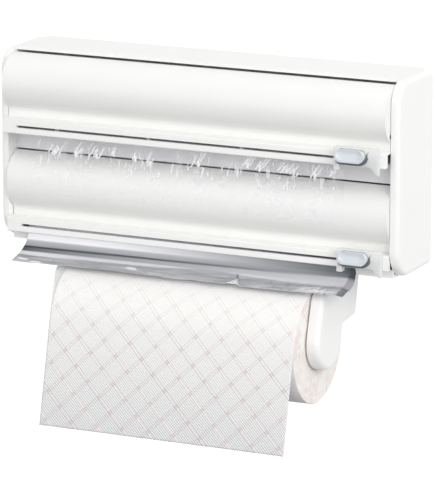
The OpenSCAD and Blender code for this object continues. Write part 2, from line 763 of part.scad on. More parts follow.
module arm(side) difference() {
  union() {
    hull() for (k = tongue_discs) puck(k[0], k[1], side);
    hull() for (k = root_discs) puck(k[0], k[1], side);
    for (i = [0:2:leaf_n - 1]) leaf(i, knuckle_r, 0, side);
  }
  for (i = [1:2:leaf_n - 1]) {
    leaf(i, knuckle_r + swing_clear, 2 * rest_clear, side);
    translate([side * hinge_x, -hinge_d - (i + 0.5) * leaf_len, hinge_z + knuckle_r])
      cube([arm_t * 2, leaf_len + 2 * rest_clear, 2 * knuckle_r], center = true);
  }
  hinge_bore(side);
}

module left_arm() color(shade) arm(-1);

module right_arm() color(shade) arm(1);

// Hub: a short land that carries the core and a tip that finds its way in
module hub(side)
  translate([side * arm_x, -paper_c[0], paper_c[1]]) rotate([0, -side * 90, 0]) difference() {
    union() {
      cylinder(r = hub_land_r, h = hub_land);
      translate([0, 0, hub_land]) cylinder(r1 = hub_land_r, r2 = hub_tip_r, h = hub_len - hub_land);
    }
    translate([0, 0, hub_wall]) cylinder(r = hub_tip_r - hub_wall, h = hub_len);
  }

module left_hub() color(white) hub(-1);

module right_hub() color(white) hub(1);

module roll_bracket() color(white) difference() {
  union() {
    translate([-bracket_w / 2, -hinge_d - hinge_len - bracket_over, z_bottom - bracket_t])
      cube([bracket_w, bracket_d, bracket_t]);
    for (side = [-1, 1], i = [1:2:leaf_n - 1]) {
      leaf(i, knuckle_r, 0, side);
      translate([side * hinge_x - lug_web_r, -hinge_d - (i + 1) * leaf_len + rest_clear, hinge_z])
        cube([2 * lug_web_r, leaf_len - 2 * rest_clear, z_bottom - bracket_t - hinge_z + eps]);
    }
  }
  for (side = [-1, 1]) hinge_bore(side);
  for (x = bracket_screw_xs, d = bracket_screw_ds)
    translate([x, -d, z_bottom - bracket_t - cut_over])
      cylinder(r = bracket_screw_r + pin_clear, h = bracket_t + 2 * cut_over);
}

module hinge_pin(side)
  rod_y(pin_r, hinge_d + rest_clear, hinge_d + hinge_len - rest_clear, side * hinge_x, hinge_z);

module left_hinge_pin() color("silver") hinge_pin(-1);

module right_hinge_pin() color("silver") hinge_pin(1);

module bracket_screws() color("silver")
  for (x = bracket_screw_xs, d = bracket_screw_ds)
    translate([x, -d, z_bottom - bracket_t - bracket_head_h]) {
      cylinder(r = bracket_head_r, h = bracket_head_h);
      cylinder(r = bracket_screw_r,
               h = bracket_head_h + bracket_t + wall_t + boss_h - boss_roof - screw_end_gap);
    }

back_panel();
top_panel();
middle_shelf();
base_panel();
left_end_cap();
right_end_cap();
roll_bracket();
bracket_screws();
left_hinge_pin();
right_hinge_pin();
upper_lid();
upper_rail();
lower_lid();
lower_rail();
upper_slider();
upper_shoe();
upper_button();
upper_blade();
upper_spring();
lower_slider();
lower_shoe();
lower_button();
lower_blade();
lower_spring();
film_core();
film_roll();
film_web();
film_tail();
foil_core();
foil_roll();
foil_sheet();
paper_core();
paper_roll();
paper_sheet();
left_arm();
right_arm();
left_hub();
right_hub();
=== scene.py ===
import bisect
import math
import random
import bpy
import bmesh
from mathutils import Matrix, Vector, noise
from mathutils.geometry import interpolate_bezier


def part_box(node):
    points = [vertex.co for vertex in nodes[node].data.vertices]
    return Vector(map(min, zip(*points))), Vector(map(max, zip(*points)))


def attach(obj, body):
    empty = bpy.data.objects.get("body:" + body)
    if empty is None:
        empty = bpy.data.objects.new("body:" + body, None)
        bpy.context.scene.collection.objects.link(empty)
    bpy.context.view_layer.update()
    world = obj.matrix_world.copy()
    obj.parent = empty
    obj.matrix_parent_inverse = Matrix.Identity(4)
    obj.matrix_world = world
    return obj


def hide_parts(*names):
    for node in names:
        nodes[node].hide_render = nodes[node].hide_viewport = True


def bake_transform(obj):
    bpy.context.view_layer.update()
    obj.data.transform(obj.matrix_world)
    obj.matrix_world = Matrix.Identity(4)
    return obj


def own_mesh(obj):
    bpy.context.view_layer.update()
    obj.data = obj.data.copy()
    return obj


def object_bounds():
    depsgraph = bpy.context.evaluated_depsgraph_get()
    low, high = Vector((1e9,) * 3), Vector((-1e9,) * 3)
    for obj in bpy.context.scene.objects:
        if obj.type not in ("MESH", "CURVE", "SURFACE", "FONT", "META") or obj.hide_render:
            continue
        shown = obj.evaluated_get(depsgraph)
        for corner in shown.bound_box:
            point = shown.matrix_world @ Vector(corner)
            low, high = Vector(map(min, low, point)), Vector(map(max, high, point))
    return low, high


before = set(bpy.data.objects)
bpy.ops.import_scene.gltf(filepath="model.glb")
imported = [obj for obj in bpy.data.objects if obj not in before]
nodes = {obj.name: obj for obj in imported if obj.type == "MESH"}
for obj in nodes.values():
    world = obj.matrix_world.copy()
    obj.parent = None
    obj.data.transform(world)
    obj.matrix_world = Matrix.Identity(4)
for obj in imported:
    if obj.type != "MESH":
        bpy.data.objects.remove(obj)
cadBounds = [list(corner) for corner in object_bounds()]
scene = bpy.context.scene
mm = 0.001

# settings that many nodes share
inColour = {"data_type": "RGBA"}
smoothly = {"interpolation_type": "SMOOTHSTEP"}
plus, minus, times = ({"operation": name} for name in ("ADD", "SUBTRACT", "MULTIPLY"))
largest, backAndForth, unsigned = ({"operation": name} for name in ("MAXIMUM", "PINGPONG", "ABSOLUTE"))
plusUpToOne = {"operation": "ADD", "use_clamp": True}


# colours are written as sRGB hex and used as linear values
def linear(hexColour):
    parts = [int(hexColour[i:i + 2], 16) / 255 for i in (1, 3, 5)]
    return [c / 12.92 if c <= 0.04045 else ((c + 0.055) / 1.055) ** 2.4 for c in parts] + [1.0]


def clamped(value):
    return min(1, max(0, value))


def between(ends, share):
    return ends[0] + (ends[1] - ends[0]) * share


# sets a node's sockets, each to a value or to the output that feeds it. A socket goes by its name, with _
# for a space, or by its number, such as i0, and a node stands for its first output
def plug(node, **sockets):
    for key, value in sockets.items():
        numbered = key[0] == "i" and key[1:].isdigit()
        socket = node.inputs[int(key[1:]) if numbered else key.replace("_", " ")]
        if isinstance(value, bpy.types.Node):
            value = value.outputs[0]
        if isinstance(value, bpy.types.NodeSocket):
            node.id_data.links.new(value, socket)
        else:
            socket.default_value = value


# adds one node to a tree, with its settings and sockets
def addNode(tree, kind, settings=None, **sockets):
    node = tree.nodes.new("ShaderNode" + kind)
    for key, value in (settings or {}).items():
        setattr(node, key, value)
    plug(node, **sockets)
    return node


def newMaterial(name):
    material = bpy.data.materials.new(name)
    material.use_nodes = True
    tree = material.node_tree
    return material, tree, tree.nodes["Principled BSDF"]


def dress(names, material):
    for name in names:
        mesh = nodes[name].data
        mesh.materials.clear()
        mesh.materials.append(material)


def meshFrom(bm, name, material):
    mesh = bpy.data.meshes.new(name)
    bm.to_mesh(mesh)
    bm.free()
    mesh.materials.append(material)
    return mesh


def addObject(name, data):
    thing = bpy.data.objects.new(name, data)
    scene.collection.objects.link(thing)
    return thing


# turns a finished bmesh into a piece that rides on a body and stands for its CAD nodes
def addPiece(bm, name, material, body, stands=()):
    piece = addObject(name, meshFrom(bm, name, material))
    for face in piece.data.polygons:
        face.use_smooth = True
    if body:
        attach(piece, body)
    if stands:
        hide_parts(*stands)
    return piece


# camera: as far off and as long a lens as the photograph's parallel edges ask for
view = {"place": (1.4124, -3.0394, 0.7048), "turn": 25.15, "pitch": 13.32, "lens": 290.9, "sensor": 36}
cameraData = bpy.data.cameras.new("camera")
cameraData.lens = view["lens"]
cameraData.sensor_width = view["sensor"]
camera = addObject("camera", cameraData)
camera.location = view["place"]
camera.rotation_euler = (math.radians(90 - view["pitch"]), 0, math.radians(view["turn"]))
scene.camera = camera
scene.view_settings.view_transform = "Standard"
print("camera set")

# studio: an even white room, a broad lamp from the upper right, one low in front and one at either side
studio = {"room": 0.76, "white": "#FFFFFF", "aim": (0, -0.06, -0.07),
          "lamps": [{"name": "keySoftbox", "place": (2.6, -1.8, 1.2), "size": 2.0, "power": 46.5},
                    {"name": "frontSoftbox", "place": (-0.6, -3.0, 0.25), "size": 2.0, "power": 13.5},
                    {"name": "sideSoftbox", "place": (2.6, 0.4, 1.7), "size": 1.6, "power": 9},
                    {"name": "leftSoftbox", "place": (-3.0, -0.9, 0.1), "size": 1.6, "power": 13}]}


# 1 where the camera, a mirror or clear film looks straight at a surface, 0 where it only lights the object
def seenShare(tree):
    path = addNode(tree, "LightPath")
    share = path.outputs["Is Camera Ray"]
    for ray in ("Is Glossy Ray", "Is Transmission Ray"):
        share = addNode(tree, "Math", plusUpToOne, i0=share, i1=path.outputs[ray])
    return share


# the room's walls look white and light the object a little less
world = bpy.data.worlds.new("studioRoom")
world.use_nodes = True
tree = world.node_tree
level = addNode(tree, "MapRange", Value=seenShare(tree), i3=studio["room"], i4=1.0)
plug(tree.nodes["Background"], Color=linear(studio["white"]), Strength=level)
scene.world = world
for lamp in studio["lamps"]:
    light = bpy.data.lights.new(lamp["name"], "AREA")
    light.size = lamp["size"]
    light.energy = lamp["power"]
    holder = addObject(lamp["name"], light)
    holder.location = lamp["place"]
    gaze = Vector(studio["aim"]) - Vector(lamp["place"])
    holder.rotation_euler = gaze.to_track_quat("-Z", "Y").to_euler()

# painted board for the floor: matt grey, lit up to white where the camera, metal and film see it
board = {"colour": "#98989A", "roughness": 0.9, "glow": 0.8, "below": 0.14, "size": 16}
boardPaint, tree, shader = newMaterial("paintedBoard")
glow = addNode(tree, "Math", times, i0=seenShare(tree), i1=board["glow"])
plug(shader, Base_Color=linear(board["colour"]), Roughness=board["roughness"], Emission_Strength=glow,
     Emission_Color=linear(studio["white"]))
bm = bmesh.new()
bmesh.ops.create_grid(bm, x_segments=1, y_segments=1, size=board["size"] / 2)
bmesh.ops.translate(bm, verts=bm.verts, vec=(0, 0, cadBounds[0][2] - board["below"]))
floor = addObject("floor", meshFrom(bm, "floor", boardPaint))
print("studio lit")

# moulded plastic: gloss broken by a faint orange peel, with a tint and a roughness that wander a little
moulding = {"cloud": 40, "tint": 0.965, "wander": 0.05, "peel": 1.5, "peelDepth": 0.03, "peelShare": 0.25,
            "ior": 1.54}


def mouldedPlastic(name, colour, roughness, peel=moulding["peel"], depth=moulding["peelDepth"]):
    material, tree, shader = newMaterial(name)
    coords = addNode(tree, "TexCoord").outputs["Object"]
    cloud = addNode(tree, "TexNoise", Vector=coords, Scale=1 / (moulding["cloud"] * mm), Detail=3.0)
    duller = [c * moulding["tint"] for c in linear(colour)[:3]] + [1]
    tint = addNode(tree, "Mix", inColour, i0=cloud, i6=linear(colour), i7=duller)
    gloss = addNode(tree, "MapRange", Value=cloud, i3=roughness - moulding["wander"],
                    i4=roughness + moulding["wander"])
    grain = addNode(tree, "TexNoise", Vector=coords, Scale=1 / (peel * mm), Detail=2.0)
    bump = addNode(tree, "Bump", Strength=moulding["peelShare"], Distance=depth * mm, Height=grain)
    plug(shader, Base_Color=tint.outputs[2], Roughness=gloss, Normal=bump, IOR=moulding["ior"])
    return material


# polystyrene for the housing, the rails and the arms: clean white, glossy
whiteStyrene = mouldedPlastic("glossWhitePolystyrene", "#FAFAF8", 0.3)
# the lids are a duller white, painted a little darker as shade than the rest of the housing
lidStyrene = mouldedPlastic("satinWhitePolystyrene", "#F6F6F4", 0.36)
# the same white with painted shade, a little greyer, for the parts that sit in the shade of the rest
shadedStyrene = mouldedPlastic("satinShadedWhitePolystyrene", "#E9E9EC", 0.42)
# the sliders are ABS with a touch of grey, and the thumb buttons a cooler, darker one
sliderAbs = mouldedPlastic("paleGreyAbs", "#E9EAE9", 0.28)
buttonAbs = mouldedPlastic("coolGreyAbs", "#D8DEE3", 0.2)
dress(["back_panel", "top_panel", "left_end_cap", "right_end_cap", "upper_rail", "lower_rail", "base_panel",
       "left_arm", "right_arm", "left_hub", "right_hub"], whiteStyrene)
dress(["upper_lid", "lower_lid"], lidStyrene)
dress(["middle_shelf", "roll_bracket", "upper_shoe", "lower_shoe"], shadedStyrene)
dress(["upper_slider", "lower_slider"], sliderAbs)
dress(["upper_button", "lower_button"], buttonAbs)

# moulded edges: the loose triangles are joined, and each sharp edge gets a small round
edges = {"join": 0.005, "sharp": 38, "segments": 2, "cutter": 0.5, "rail": 0.3, "panel": 0.4}


def soften(names, width):
    for name in names:
        weld = nodes[name].modifiers.new("joined", "WELD")
        weld.merge_threshold = edges["join"] * mm
        edge = nodes[name].modifiers.new("softEdge", "BEVEL")
        edge.width = width * mm
        edge.segments = edges["segments"]
        edge.limit_method = "ANGLE"
        edge.angle_limit = math.radians(edges["sharp"])
        edge.harden_normals = True


soften(["upper_slider", "lower_slider", "upper_button", "lower_button"], edges["cutter"])
soften(["upper_rail", "lower_rail"], edges["rail"])
soften(["base_panel", "middle_shelf", "roll_bracket"], edges["panel"])

# ground steel: fairly bright, with fine scratches along the part
steel = {"colour": "#C4C6C9", "scratch": 3, "stretch": 12, "roughness": (0.2, 0.42)}
groundSteel, tree, shader = newMaterial("groundSteel")
coords = addNode(tree, "TexCoord").outputs["Object"]
stretch = addNode(tree, "Mapping", Vector=coords, Scale=(1, steel["stretch"], steel["stretch"]))
scratch = addNode(tree, "TexNoise", Vector=stretch, Scale=1 / (steel["scratch"] * mm), Detail=4.0)
gloss = addNode(tree, "MapRange", Value=scratch, i3=steel["roughness"][0], i4=steel["roughness"][1])
plug(shader, Base_Color=linear(steel["colour"]), Metallic=1.0, Roughness=gloss)
dress(["bracket_screws", "left_hinge_pin", "right_hinge_pin", "upper_blade", "lower_blade", "upper_spring",
       "lower_spring"], groundSteel)

# grey-brown tube card: wound from strips, matt, with short fibres
card = {"light": "#C4AC88", "dark": "#A88D66", "fibre": 1.2, "depth": 0.1, "relief": 0.4, "roughness": 0.85}
tubeCard, tree, shader = newMaterial("spiralWoundCard")
coords = addNode(tree, "TexCoord").outputs["Object"]
fibre = addNode(tree, "TexNoise", Vector=coords, Scale=1 / (card["fibre"] * mm), Detail=5.0)
shade = addNode(tree, "Mix", inColour, i0=fibre, i6=linear(card["light"]), i7=linear(card["dark"]))
bump = addNode(tree, "Bump", Strength=card["relief"], Distance=card["depth"] * mm, Height=fibre)
plug(shader, Base_Color=shade.outputs[2], Normal=bump, Roughness=card["roughness"])
dress(["film_core", "foil_core", "paper_core"], tubeCard)
print("plastic, steel and card dressed")

# a dark grey, matt collar under each thumb button: painted shadow, standing in for the shade in the gap under
# it
collarShadow = {"dark": "#50575B", "light": "#636B70", "bloom": 2, "roughness": 0.6}
shadowCollarMaterial, tree, shader = newMaterial("paintedShadowRubber")
coords = addNode(tree, "TexCoord").outputs["Object"]
bloom = addNode(tree, "TexNoise", Vector=coords, Scale=1 / (collarShadow["bloom"] * mm), Detail=3.0)
shade = addNode(tree, "Mix", inColour, i0=bloom, i6=linear(collarShadow["dark"]), i7=linear(collarShadow["light"]))
plug(shader, Base_Color=shade.outputs[2], Roughness=collarShadow["roughness"])

# a collar of painted shadow round the foot of each button: wide and high below it, sunk into the slider
# above.
# The swells are powers, and a low one lets the collar grow soon
collar = {"gap": 0.25, "lip": 0.3, "foot": 1.9, "footSwell": 0.6, "tip": 0.5, "tipSwell": 3, "proud": 3.7,
          "rim": 0.2, "slope": 0.2, "sunk": 0.8, "buttonOut": 5.8, "straights": 8, "sharp": 40, "edge": 0.15,
          "steps": 64}


def buttonShadowCollar(name, button, body):
    low, high = (Vector(corner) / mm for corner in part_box(button))
    middle = (low + high) / 2
    end = (high.z - low.z) / 2
    straight = (high.x - low.x) / 2 - end
    face = low.y + collar["buttonOut"]
    bm = bmesh.new()
    rings = []
    for outside, front in ((0, 0), (0, 1), (1, 1), (1, 0)):
        ring = bmesh.ops.create_circle(bm, segments=collar["steps"], radius=1)["verts"]
        for vertex in ring:
            across, up = vertex.co.x, vertex.co.y
            below = max(0, -up) ** collar["footSwell"]
            sideways = max(0, across) ** collar["tipSwell"]
            wide = collar["lip"] + collar["foot"] * below + collar["tip"] * sideways
            reach = end + collar["gap"] + outside * wide
            depth = -collar["sunk"]
            if front:
                depth = (collar["proud"] * below - collar["rim"]) * (1 - collar["slope"] * outside)
            side = max(-1, min(1, collar["straights"] * across))
            x = middle.x + straight * side + reach * across
            vertex.co = Vector((x, face - depth, middle.z + reach * up)) * mm
        rings.append(list({edge for vertex in ring for edge in vertex.link_edges}))
    for ring, following in zip(rings, rings[1:] + rings[:1]):
        bmesh.ops.bridge_loops(bm, edges=ring + following)
    bmesh.ops.recalc_face_normals(bm, faces=bm.faces)
    sharp = [edge for edge in bm.edges if edge.calc_face_angle(0) > math.radians(collar["sharp"])]
    bmesh.ops.bevel(bm, geom=sharp, offset=collar["edge"] * mm, segments=2, profile=0.5, affect="EDGES",
                    material=-1)
    return addPiece(bm, name, shadowCollarMaterial, body)


buttonShadowCollar("upperButtonShadowCollar", "upper_button", "upper_cutter")
buttonShadowCollar("lowerButtonShadowCollar", "lower_button", "lower_cutter")
print("button collars seated")

# button springs: one wire wound on a helix, riding on its cutter
spring = {"wire": 0.25, "sides": 10, "turns": 4, "turnSteps": 24, "travel": 2}


def buttonSpring(name, node, body):
    low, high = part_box(node)
    middle = (low + high) / 2
    wire = spring["wire"] * mm
    steps = spring["turns"] * spring["turnSteps"]
    length = high.y - low.y
    bm = bmesh.new()
    bmesh.ops.create_circle(bm, segments=spring["sides"], radius=wire)
    bmesh.ops.translate(bm, verts=bm.verts, vec=(high.x - wire, high.y - wire, middle.z))
    bmesh.ops.spin(bm, geom=bm.verts[:] + bm.edges[:], cent=(middle.x, 0, middle.z), axis=(0, 1, 0),
                   dvec=(0, (2 * wire - length) / steps, 0), angle=math.tau * spring["turns"], steps=steps)
    bmesh.ops.holes_fill(bm, edges=[edge for edge in bm.edges if edge.is_boundary])
    bmesh.ops.recalc_face_normals(bm, faces=bm.faces)
    piece = addPiece(bm, name, groundSteel, body, [node])
    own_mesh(piece)


buttonSpring("upperButtonSpring", "upper_spring", "upper_cutter")
buttonSpring("lowerButtonSpring", "lower_spring", "lower_cutter")
print("button springs wound")


# a bent line of (depth, height) points in mm, with its corners eased into bends
def roundedLine(corners, ease, steps=10, pull=0.6):
    points = [Vector(corner) for corner in corners]
    line = [points[0]]
    for before, corner, after in zip(points, points[1:], points[2:]):
        reach = min(ease, (before - corner).length / 2, (after - corner).length / 2)
        first = corner + (before - corner).normalized() * reach
        last = corner + (after - corner).normalized() * reach
        line += interpolate_bezier(first, first.lerp(corner, pull), last.lerp(corner, pull), last, steps)
    return line + [points[-1]]


def arcLine(centre, radius, start, stop, steps=40):
    turns = [math.radians(start + (stop - start) * i / steps) for i in range(steps + 1)]
    return [Vector((centre[0] + radius * math.cos(a), centre[1] + radius * math.sin(a))) for a in turns]


# the lengths along a line at which its points lie
def runLengths(line):
    lengths = [0.0]
    for a, b in zip(line, line[1:]):
        lengths.append(lengths[-1] + (b - a).length)
    return lengths


# the first stretch of a pulled web: round its roll, to where it leaves at a tangent for the rail's hook
def leavingLine(web):
    toHook = Vector(web["hook"]) - Vector(web["centre"])
    leave = math.degrees(math.atan2(toHook.y, toHook.x) + math.acos(web["radius"] / toHook.length))
    return arcLine(web["centre"], web["radius"], leave + web["wrap"], leave, steps=12)


# how much of a pulled web the housing hides, up to where it comes out
def hiddenLength(web, line):
    corners = [line[-1], Vector(web["hook"]), Vector(web["exit"])]
    return web["radius"] * math.radians(web["wrap"]) + runLengths(corners)[-1]


# lays a flat grid along a bent line. Its UVs keep the flat size in metres, and shape(x, s) may move a point
# across and along, lift it off the line and leave a mark on it from 0 to 1. Rows are wide up to hidden, where
# the housing covers the sheet
def laySheet(line, left, right, cell, shape, hidden=0.0, wideCell=3.0):
    lengths = runLengths(line)
    shown = lengths[-1] - hidden
    wideRows = round(hidden / wideCell)
    fineRows = round(shown / cell)
    columns = round((right - left) / cell)
    bm = bmesh.new()
    bmesh.ops.create_grid(bm, x_segments=columns, y_segments=wideRows + fineRows, size=0.5)
    flat = bm.loops.layers.uv.new("flat")
    mark = bm.verts.layers.float.new("mark")
    for vertex in bm.verts:
        row = (0.5 - vertex.co.y) * (wideRows + fineRows)
        s = row * hidden / wideRows if row < wideRows else hidden + (row - wideRows) * shown / fineRows
        x, s, rise, vertex[mark] = shape(left + (vertex.co.x + 0.5) * (right - left), s)
        for loop in vertex.link_loops:
            loop[flat].uv = (x * mm, s * mm)
        step = min(max(bisect.bisect(lengths, s) - 1, 0), len(line) - 2)
        run = line[step + 1] - line[step]
        place = line[step] + run * ((s - lengths[step]) / max(lengths[step + 1] - lengths[step], 1e-6))
        place += Vector((-run.y, run.x)).normalized() * rise
        vertex.co = (x * mm, -place.x * mm, place.y * mm)
    return bm, lengths[-1]


def thicken(piece, thickness):
    wall = piece.modifiers.new("thickness", "SOLIDIFY")
    wall.thickness = thickness * mm
    wall.offset = 0


# soft waves over a sheet. Each layer has its height, the width and length of its swells in mm, and the part
# of the noise that it takes
def swells(x, s, layers):
    return sum(height * noise.noise((x / wide, s / long, part)) for height, wide, long, part in layers)


# soft tissue: two plies, matt and warm white, printed with a thin pink plaid and embossed with fine slanting
# ribs. Painted shade greys the ribs' hollows, more towards the free end, and painted light washes out the
# print at the top. Sizes across the slanting lines are measured along the sheet's width, and line, band,
# rib and break say where each is full and where it has faded out
tissue = {"plaid": 24, "pair": 1.6, "line": (0.15, 0.75), "band": (1.4, 2.8), "bandRelief": 0.65,
          "ribs": 2.5, "rib": (0.25, 1.0), "breaks": 3.0, "break": (0.9, 1.5), "breakLow": 0.5,
          "paper": "#FAF9F7", "hollow": "#F3F2F0", "freeEndHollowShade": "#B9BDC1", "pink": "#CBB2B6",
          "ink": 0.62, "crossInk": 0.4, "knotInk": 0.3, "washedOutTopInk": 0.2, "inkWashoutFades": (0.1, 0.6),
          "hollowShadeGrows": (0.4, 1.0), "relief": 0.5, "depth": 0.25, "roughness": 0.92, "specular": 0.2}
lineFull, lineGone = (size * mm for size in tissue["line"])
bandFull, bandGone = (size * mm for size in tissue["band"])
ribFull, ribGone = (size * mm for size in tissue["rib"])
breakFull, breakGone = (size * mm for size in tissue["break"])
printedTissue, tree, shader = newMaterial("printedTissue")
flatMap = addNode(tree, "UVMap", {"uv_map": "flat"})
parts = addNode(tree, "SeparateXYZ", i0=flatMap)
falling = addNode(tree, "Math", minus, i0=parts.outputs[0], i1=parts.outputs[1])
rising = addNode(tree, "Math", plus, i0=parts.outputs[0], i1=parts.outputs[1])
# the plaid: a pair of lines each way, and a darker knot where they cross
inks = []
bands = []
for slant, strength in ((falling, tissue["ink"]), (rising, tissue["crossInk"])):
    offset = addNode(tree, "Math", backAndForth, i0=slant, i1=tissue["plaid"] / 2 * mm)
    fromLine = addNode(tree, "Math", minus, i0=offset, i1=tissue["pair"] * mm)
    fromLine = addNode(tree, "Math", unsigned, i0=fromLine)
    drawn = addNode(tree, "MapRange", smoothly, Value=fromLine, i1=lineFull, i2=lineGone, i3=1.0, i4=0.0)
    inks.append(addNode(tree, "Math", times, i0=drawn, i1=strength))
    bands.append(addNode(tree, "MapRange", smoothly, Value=offset, i1=bandFull, i2=bandGone, i3=1.0, i4=0.0))
crossing = addNode(tree, "Math", times, i0=bands[0], i1=bands[1])
knots = addNode(tree, "Math", times, i0=crossing, i1=tissue["knotInk"])
lines = addNode(tree, "Math", largest, i0=inks[0], i1=inks[1])
plaid = addNode(tree, "Math", plusUpToOne, i0=lines, i1=knots)
# the ribs: hollows that are broken across, and flattened along the printed bands
ribAt = addNode(tree, "Math", backAndForth, i0=falling, i1=tissue["ribs"] / 2 * mm)
ribs = addNode(tree, "MapRange", smoothly, Value=ribAt, i1=ribFull, i2=ribGone, i3=1.0, i4=0.0)
breakAt = addNode(tree, "Math", backAndForth, i0=rising, i1=tissue["breaks"] / 2 * mm)
breaks = addNode(tree, "MapRange", smoothly, Value=breakAt, i1=breakFull, i2=breakGone, i3=1.0,
                 i4=tissue["breakLow"])
hollows = addNode(tree, "Math", times, i0=ribs, i1=breaks)
plain = addNode(tree, "Math", minus, i0=1.0, i1=hollows)
flattened = addNode(tree, "Math", times, i0=bands[0], i1=tissue["bandRelief"])
emboss = addNode(tree, "Math", largest, i0=plain, i1=flattened)
# the mark says how far down the sheet a place is, and the roll has none. Further down, the painted shade in
# the hollows deepens and the painted washout of the print fades
down = addNode(tree, "Attribute", {"attribute_name": "mark"}).outputs["Fac"]
hollowShadeDown = addNode(tree, "MapRange", Value=down, i1=tissue["hollowShadeGrows"][0], i2=tissue["hollowShadeGrows"][1])
inkBelowWashout = addNode(tree, "MapRange", Value=down, i1=tissue["inkWashoutFades"][0], i2=tissue["inkWashoutFades"][1],
                  i3=tissue["washedOutTopInk"], i4=1.0)
# painted shade for the hollows, greyer further down the sheet
hollow = addNode(tree, "Mix", inColour, i0=hollowShadeDown, i6=linear(tissue["hollow"]),
                 i7=linear(tissue["freeEndHollowShade"]))
ground = addNode(tree, "Mix", inColour, i0=emboss, i6=hollow.outputs[2], i7=linear(tissue["paper"]))
inkShare = addNode(tree, "Math", times, i0=plaid, i1=inkBelowWashout)
colour = addNode(tree, "Mix", inColour, i0=inkShare, i6=ground.outputs[2], i7=linear(tissue["pink"]))
bump = addNode(tree, "Bump", Strength=tissue["relief"], Distance=tissue["depth"] * mm, Height=emboss)
plug(shader, Base_Color=colour.outputs[2], Normal=bump, Roughness=tissue["roughness"],
     Specular_IOR_Level=tissue["specular"])

# the cut ends of the wound tissue: pressed layers, warm from the print, a little blotched
cutEnds = {"light": "#FBF7F4", "dark": "#EEE0DA", "blotch": 9, "rough": 0.7, "spread": (0.42, 0.72),
           "depth": 0.4, "relief": 0.4, "roughness": 0.95}
tissueEnds, tree, shader = newMaterial("cutTissueLayers")
coords = addNode(tree, "TexCoord").outputs["Object"]
blotch = addNode(tree, "TexNoise", Vector=coords, Scale=1 / (cutEnds["blotch"] * mm), Detail=6.0,
                 Roughness=cutEnds["rough"])
spread = addNode(tree, "MapRange", smoothly, Value=blotch, i1=cutEnds["spread"][0], i2=cutEnds["spread"][1])
shade = addNode(tree, "Mix", inColour, i0=spread, i6=linear(cutEnds["light"]), i7=linear(cutEnds["dark"]))
bump = addNode(tree, "Bump", Strength=cutEnds["relief"], Distance=cutEnds["depth"] * mm, Height=blotch)
plug(shader, Base_Color=shade.outputs[2], Normal=bump, Roughness=cutEnds["roughness"])

# kitchen foil: rolled aluminium with a satin shine. Its bands are painted reflection and shade: light where
# it faces the white rail and the room, and dark where it faces its own fold. Rolling lines run with the
# bands; real ones are finer, and these are as coarse as the picture shows
foilFinish = {"light": "#F4F4F8", "dark": "#384147", "lines": 2.5, "drawn": 0.05, "roughness": (0.26, 0.42),
              "metallic": 0.3}
kitchenFoil, tree, shader = newMaterial("rolledAluminiumFoil")
# the mark is the share of painted shade and reflection: 0 gives the light colour, 1 the dark
crease = addNode(tree, "Attribute", {"attribute_name": "mark"}).outputs["Fac"]
flatMap = addNode(tree, "UVMap", {"uv_map": "flat"})
drawn = addNode(tree, "Mapping", Vector=flatMap, Scale=(foilFinish["drawn"], 1, 1))
lines = addNode(tree, "TexNoise", Vector=drawn, Scale=1 / (foilFinish["lines"] * mm), Detail=3.0)
gloss = addNode(tree, "MapRange", Value=lines, i3=foilFinish["roughness"][0], i4=foilFinish["roughness"][1])
shade = addNode(tree, "Mix", inColour, i0=crease, i6=linear(foilFinish["light"]),
                i7=linear(foilFinish["dark"]))
plug(shader, Base_Color=shade.outputs[2], Roughness=gloss, Metallic=foilFinish["metallic"])

# cling film: a clear web that casts no shadow; the white along its folds is a painted highlight
filmFinish = {"clear": "#F0F0F4", "fold": "#FFFFFF", "veil": (0.03, 0.95), "roughness": 0.12, "ior": 1.5}
clingFilm, tree, shader = newMaterial("clearClingFilm")
crease = addNode(tree, "Attribute", {"attribute_name": "mark"}).outputs["Fac"]
veil = addNode(tree, "MapRange", Value=crease, i3=filmFinish["veil"][0], i4=filmFinish["veil"][1])
lit = addNode(tree, "Math", minus, i0=1.0, i1=addNode(tree, "LightPath").outputs["Is Shadow Ray"])
veil = addNode(tree, "Math", times, i0=veil, i1=lit)
shade = addNode(tree, "Mix", inColour, i0=crease, i6=linear(filmFinish["clear"]),
                i7=linear(filmFinish["fold"]))
plug(shader, Base_Color=shade.outputs[2], Alpha=veil, Roughness=filmFinish["roughness"],
     IOR=filmFinish["ior"])

# the wound film looks milky, because many clear turns lie on each other
woundFilm = mouldedPlastic("woundClingFilm", "#DDE0E4", 0.18, peel=6, depth=0.1)

# the wound foil is bright, with faint dents where its turns lie loose
woundFinish = {"colour": "#C6C8CC", "dents": 14, "depth": 0.3, "relief": 0.3, "roughness": (0.16, 0.34)}
woundFoil, tree, shader = newMaterial("woundAluminiumFoil")
coords = addNode(tree, "TexCoord").outputs["Object"]
dents = addNode(tree, "TexNoise", Vector=coords, Scale=1 / (woundFinish["dents"] * mm), Detail=4.0)
gloss = addNode(tree, "MapRange", Value=dents, i3=woundFinish["roughness"][0], i4=woundFinish["roughness"][1])
bump = addNode(tree, "Bump", Strength=woundFinish["relief"], Distance=woundFinish["depth"] * mm, Height=dents)
plug(shader, Base_Color=linear(woundFinish["colour"]), Metallic=1.0, Roughness=gloss, Normal=bump)
print("paper, foil and film mixed")


